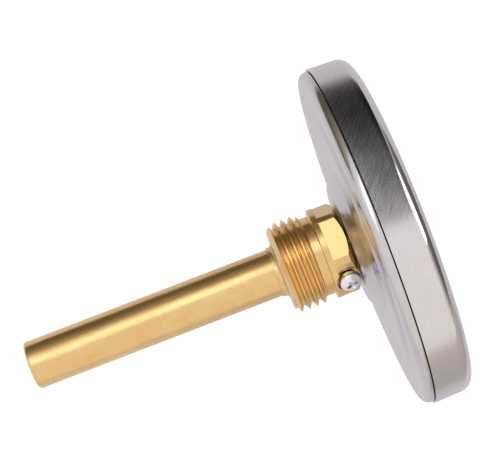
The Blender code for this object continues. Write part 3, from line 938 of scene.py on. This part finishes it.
def print_arc(name, dial_y, inner_r, outer_r):
    """The line that the marks stand on, a thin band over the scale's sweep."""
    bpy.ops.object.select_all(action="DESELECT")
    middle = (inner_r + outer_r) / 2 * MM
    bpy.ops.mesh.primitive_plane_add(size=MM, location=(0.0, 0.0, middle))
    band = bpy.context.object
    edit(band)
    bpy.ops.mesh.select_all(action="SELECT")
    bpy.ops.transform.rotate(value=math.pi / 2, orient_axis="Y", center_override=(0.0, 0.0, middle))
    bpy.ops.transform.resize(value=(1.0, INK, outer_r - inner_r), center_override=(0.0, 0.0, middle))
    bpy.ops.transform.rotate(value=-SCALE_START, orient_axis="Y", center_override=(0.0, 0.0, 0.0))
    bpy.ops.mesh.select_all(action="SELECT")
    bpy.ops.mesh.spin(steps=180, angle=SCALE_SWEEP, center=(0.0, 0.0, 0.0), axis=(0.0, 1.0, 0.0))
    done(band, name)
    bpy.ops.object.transform_apply()
    print_on_dial(band, name, dial_y)


def make_scale(dial_y):
    """Marks every two degrees, longer ones every ten, and numerals every twenty."""
    print_arc("scale_line", dial_y, SCALE_R, SCALE_R + 0.35)
    minor_steps = SCALE_TOP // MINOR_EVERY
    print_bar("minor_marks", dial_y, SCALE_R - 2.2, SCALE_R + 0.1, 0.22, minor_steps, SCALE_SWEEP)
    major_steps = SCALE_TOP // MAJOR_EVERY
    print_bar("major_marks", dial_y, SCALE_R - 4.0, SCALE_R + 0.1, 0.5, major_steps, SCALE_SWEEP)
    for reading in range(0, SCALE_TOP + 1, NUMERAL_EVERY):
        angle = scale_angle(reading)
        across = NUMERAL_R * math.sin(angle)
        up = NUMERAL_R * math.cos(angle)
        print_text(f"numeral_{reading}", str(reading), NUMERAL_HEIGHT, across, up, dial_y)
    print_text("degrees_celsius", "°C", UNIT_HEIGHT, 0.0, UNIT_UP, dial_y)


def make_dial_screws():
    """Slotted cheese heads, each modelled about the stem's axis and then moved to its post."""
    for side, turn in (("left", 0.5), ("right", 1.9)):
        low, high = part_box("dial_screw_" + side)
        middle = (low + high) / 2
        front, back = low.y / MM, high.y / MM
        head_r = (high.x - low.x) / 2 / MM
        outline = [
            (0.0, back),
            (DIAL_SCREW_SHANK_R, back, 0.15),
            (DIAL_SCREW_SHANK_R, front + 0.8),
            (head_r, front + 0.8, 0.1),
            (head_r, front + 0.1, 0.3),
            (0.0, front),
        ]
        screw = turned("slotted_screw_" + side, outline, SMALL_STEPS, closed=False, arc_steps=4)
        slot = done(block((0.0, front, 0.0), (5.0, 0.8, 0.45)), "screw_slot")
        cut(screw, move(slot, Matrix.Rotation(turn, 4, "Y")))
        smooth(screw)
        fit(move(screw, Matrix.Translation((middle.x, 0.0, middle.z))), "dial_screw_" + side, BRIGHT_ZINC)


# Movement and stem


def make_pointer():
    """A blade that tapers to the scale, pressed out round its eye, with a counterweight tail."""
    low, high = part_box("pointer")
    length, tail = -low.x / MM, high.x / MM
    back, front = high.y / MM, low.y / MM
    eye_r = high.z / MM
    outline = [
        (POINTER_EYE_R, back),
        (eye_r, back, 0.08),
        (eye_r, front, 0.12),
        (POINTER_EYE_R, front, 0.05),
    ]
    pointer = turned("painted_pointer", outline, BUSH_STEPS, arc_steps=3)
    shapes = (("blade", -length, -2.6, 0.16, 1.1), ("tail", 2.6, tail, 1.2, 1.5))
    for name, start, end, start_half, end_half in shapes:
        middle = (start + end) / 2
        arm = block((middle, (back + front) / 2, 0.0), (end - start, back - front - 0.002, 2 * end_half))
        pick(arm, lambda co, normal: co.x < middle)
        bpy.ops.transform.resize(value=(1.0, 1.0, start_half / end_half), center_override=(0.0, 0.0, 0.0))
        pick(arm, lambda co, normal: normal.y < -0.9, "FACE")
        bpy.ops.mesh.bevel(offset=0.08 * MM, segments=2)
        done(arm, "pointer_" + name)
        apply_modifier(pointer, "BOOLEAN", operation="UNION", solver="EXACT", object=arm)
        bpy.data.objects.remove(arm)
    smooth(pointer)
    fit(pointer, "pointer", POINTER_BLACK)


def make_pointer_hub():
    radius, low, high = extent("pointer_hub")
    outline = [
        (SPINDLE_HOLE_R, high, 0.08),
        (HUB_R, high, 0.1),
        (HUB_R, low + 0.7),
        (radius, low + 0.7, 0.1),
        (radius, low, 0.3),
        (1.2, low, 0.1),
        (0.9, low + 0.15, 0.1),
        (SPINDLE_HOLE_R, low + 0.15),
    ]
    fit(turned("pointer_bush", outline, BUSH_STEPS, arc_steps=4), "pointer_hub", TURNED_BRASS)


def make_stem_tube():
    """Thin sheath with a domed tip, flared inside the case."""
    radius, low, high = extent("stem_tube")
    inner_r = STEM_R - STEM_WALL
    flare = low + 0.5
    outline = [
        (0.0, high),
        (STEM_R * 0.6, high - 0.1),
        (STEM_R, high - 0.6, 0.9),
        (STEM_R, flare, 0.3),
        (radius, flare, 0.05),
        (radius, low, 0.05),
        (inner_r, low, 0.3),
        (inner_r, high - 0.9, 0.6),
        (0.0, high - 0.5),
    ]
    fit(turned("stem_sheath", outline, STEM_STEPS, closed=False), "stem_tube", ALUMINIUM)


def finish_inner_pieces():
    """CAD pieces whose shape is already right get their finish."""
    finishes = {
        TURNED_BRASS: ("coil_anchor", "lower_guide", "upper_guide", "stem_ferrule", "coil_hub", "stop_pin"),
        MILLED_BRASS: ("dial_post_left", "dial_post_right"),
        STAINLESS: ("spindle",),
        BIMETAL: ("bimetal_coil",),
        FIBRE: ("case_washer",),
    }
    for finish, names in finishes.items():
        for name in names:
            mesh = frame["nodes"][name].data
            mesh.materials.clear()
            mesh.materials.append(finish)


# Studio


def add_camera():
    """Looks down on the object from 0.4 m, rolled so that the stem runs down to the left."""
    roll = math.radians(CAMERA_ROLL)
    eye = Vector(CAMERA_EYE) * MM
    target = Vector(CAMERA_TARGET) * MM
    data = bpy.data.cameras.new("camera")
    data.sensor_width = 36.0
    data.lens = CAMERA_LENS
    data.clip_start = 0.01
    camera = bpy.data.objects.new("camera", data)
    bpy.context.scene.collection.objects.link(camera)
    backward = (eye - target).normalized()
    right = Vector((-math.sin(roll), -math.cos(roll), 0.0))
    right = (right - right.dot(backward) * backward).normalized()
    up = backward.cross(right)
    camera.matrix_world = Matrix.Translation(eye) @ Matrix((right, up, backward)).transposed().to_4x4()
    bpy.context.scene.camera = camera


def graded_glow(name, stops):
    """A surface that glows in the stops' colours from its lower X end (0) to its upper (1)."""
    material = bpy.data.materials.new(name)
    material.use_nodes = True
    tree = material.node_tree
    tree.nodes.remove(shader_of(material))
    place = node(tree, "TexCoord").outputs["Object"]
    across = node(tree, "SeparateXYZ", {0: place}).outputs["X"]
    ramp = node(tree, "ValToRGB", {"Fac": math_node(tree, "ADD", across, 0.5)})
    for at, _ in stops[1:-1]:
        ramp.color_ramp.elements.new(at)
    for element, (at, color) in zip(ramp.color_ramp.elements, stops):
        element.position = at
        element.color = (*color, 1.0)
    glow = node(tree, "Emission", {"Color": ramp.outputs["Color"]}).outputs[0]
    tree.links.new(glow, tree.nodes["Material Output"].inputs["Surface"])
    return material


def add_card(name, start, end, span, stops):
    """A flat card from start to end, each (x, z), over a span of y. Only gloss shows it."""
    start = Vector((start[0], span[0], start[1]))
    across = Vector((end[0], span[0], end[1])) - start
    along = Vector((0.0, span[1] - span[0], 0.0))
    middle = start + (across + along) / 2
    bpy.ops.object.select_all(action="DESELECT")
    bpy.ops.mesh.primitive_plane_add(size=1.0)
    card = bpy.context.object
    card.name = name
    basis = Matrix((across, along, across.cross(along.normalized())))
    card.matrix_world = Matrix.Translation(middle * MM) @ (basis * MM).transposed().to_4x4()
    card.data.materials.append(graded_glow(name, stops))
    card.visible_camera = False
    card.visible_diffuse = False
    card.visible_transmission = False
    card.visible_shadow = False


def add_softbox(name, place, size, power):
    data = bpy.data.lights.new(name, "AREA")
    data.shape = "RECTANGLE"
    data.size = size[0] * MM
    data.size_y = size[1] * MM
    data.energy = power
    lamp = bpy.data.objects.new(name, data)
    bpy.context.scene.collection.objects.link(lamp)
    lamp.location = Vector(place) * MM
    lamp.rotation_mode = "QUATERNION"
    lamp.rotation_quaternion = lamp.location.to_track_quat("Z", "Y")


def add_floor():
    """White to the eye. To gloss it glows instead with a painted shadow, a fixed shade that is darker by
    the head, for the shade the object casts on the floor.
    """
    bpy.ops.object.select_all(action="DESELECT")
    bpy.ops.mesh.primitive_plane_add(size=6.0, location=(0.0, 0.0, FLOOR_Z * MM))
    floor = bpy.context.object
    floor.name = "floor"
    material = new_finish("floor_white", (0.97, 0.97, 0.97), 0.9, Specular_IOR_Level=0.0)
    tree = material.node_tree
    y = node(tree, "SeparateXYZ", {0: node(tree, "TexCoord").outputs["Object"]}).outputs["Y"]
    # Painted shadow: to gloss the floor glows darker near the head, where the object's own shade would fall
    # on it
    shade = two_tone(tree, y, 0.0, 0.06, FLOOR_PAINTED_SHADE_BY_HEAD, FLOOR_PAINTED_SHADE_BY_STEM)
    painted_shadow_glow = node(tree, "Emission", {"Color": shade}).outputs[0]
    gloss_ray = node(tree, "LightPath").outputs["Is Glossy Ray"]
    mix = node(tree, "MixShader", {0: gloss_ray, 1: shader_of(material).outputs[0], 2: painted_shadow_glow})
    tree.links.new(mix.outputs[0], tree.nodes["Material Output"].inputs["Surface"])
    floor.data.materials.append(material)


def add_world():
    """Plain to all but gloss, which mirrors it a little warmer toward -X and dark before the dial."""
    world = bpy.data.worlds.new("white_studio")
    world.use_nodes = True
    tree = world.node_tree
    way = node(tree, "TexCoord").outputs["Generated"]
    split = node(tree, "SeparateXYZ", {0: way}).outputs
    color = blend_colors(tree, between(tree, split["X"], -0.9, 0.1, 0.0, 1.0), WARM_SIDE, COOL_SIDE)
    color = blend_colors(tree, between(tree, split["Y"], -0.85, -0.45, 0.0, 1.0), DARK_FRONT, color)
    rays = node(tree, "LightPath").outputs
    plain = math_node(tree, "MAXIMUM", rays["Is Camera Ray"], rays["Is Diffuse Ray"])
    plain = math_node(tree, "MAXIMUM", plain, rays["Is Transmission Ray"])
    color = blend_colors(tree, plain, color, (AMBIENT, AMBIENT, AMBIENT))
    tree.links.new(color, tree.nodes["Background"].inputs["Color"])
    bpy.context.scene.world = world


def add_studio():
    add_world()
    add_floor()
    add_softbox("key_softbox", (185.0, 90.0, 425.0), (430.0, 185.0), 0.22)
    add_softbox("front_softbox", (130.0, -380.0, 450.0), (560.0, 200.0), 0.9)
    add_card("stem_card", (139.0, -50.0), (112.0, 100.0), (-60.0, 260.0), STEM_CARD_STOPS)
    add_card("side_card", (-120.0, -62.0), (-112.0, 34.0), (-200.0, -9.0), SIDE_CARD_STOPS)
    add_card("bezel_card", (78.0, -10.0), (7.0, 112.0), (-44.0, -13.0), BEZEL_CARD_STOPS)
    bpy.context.scene.view_settings.view_transform = "Standard"


def main():
    make_pocket_body()
    make_pocket_tube()
    make_braze_ring()
    make_clamp_screw()
    make_case_back()
    make_bezel()
    make_window()
    make_gasket()
    make_dial_ring()
    dial_y = make_dial()
    make_scale(dial_y)
    make_dial_screws()
    make_pointer()
    make_pointer_hub()
    make_stem_tube()
    finish_inner_pieces()
    add_camera()
    add_studio()


main()
